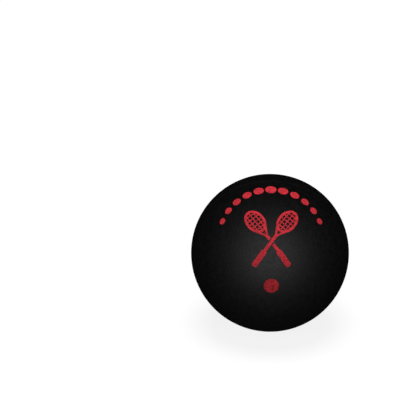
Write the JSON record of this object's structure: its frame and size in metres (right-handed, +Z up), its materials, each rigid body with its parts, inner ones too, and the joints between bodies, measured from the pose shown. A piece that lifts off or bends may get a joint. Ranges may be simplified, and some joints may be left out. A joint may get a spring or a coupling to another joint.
{
  "type": "squash ball",
  "caption": "Hollow matt black rubber squash ball made of half-shells cemented at a seam, with a red printed racket emblem and dots, to be struck in play.",
  "frame": {"origin": "the ball's centre", "axes": "+Z up; -Y is the pole of the front half-shell, and the printed emblem faces 37 degrees above it; the seam lies in the XZ plane"},
  "size_m": [0.0424, 0.0424, 0.0424],
  "materials": {
    "rubber": "buffed matt black rubber with a fine grain",
    "cement": "cured rubber cement, matt black",
    "ink": "thin matt red printing ink"
  },
  "bodies": {
    "root": {"front_half_shell": "rubber", "rear_half_shell": "rubber", "seam_cement": "cement", "print_arch_dots": "ink", "print_racket_over": "ink", "print_racket_under": "ink", "print_speed_dot": "ink"}
  },
  "joints": []
}
